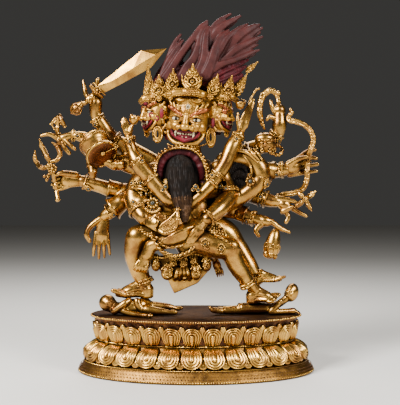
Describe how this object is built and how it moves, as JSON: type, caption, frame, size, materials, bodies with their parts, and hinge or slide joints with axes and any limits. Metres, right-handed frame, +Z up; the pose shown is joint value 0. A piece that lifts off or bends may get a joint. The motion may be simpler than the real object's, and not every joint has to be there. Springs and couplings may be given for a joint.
{
  "type": "mahakala figure",
  "caption": "Gilt many-armed guardian figure in embrace with a consort, treading on fallen figures, on an oval double-lotus plinth.",
  "frame": {"origin": "centre of the plinth's underside, on the surface it stands on", "axes": "+Z up, the figure faces -Y and its right hands are on the -X side, the plinth's long axis is X"},
  "size_m": [0.1702, 0.0872, 0.2152],
  "materials": {
    "gilding": "mercury gilding, polished high spots",
    "plinth_gilding": "worn gilding with brown tarnish in the recesses",
    "red_pigment": "matt mineral red over the casting"
  },
  "bodies": {
    "root": {"lotus_plinth": "plinth_gilding", "fallen_figure_left": "gilding", "fallen_figure_right": "gilding", "guardian_figure": "gilding", "consort_figure": "gilding", "head_garland": "gilding", "flame_hair": "red_pigment", "sword": "gilding", "axe": "gilding", "trident": "gilding", "drum": "gilding", "severed_head": "gilding", "hook": "gilding", "bow": "gilding", "vajra": "gilding", "bell": "gilding"}
  },
  "joints": []
}
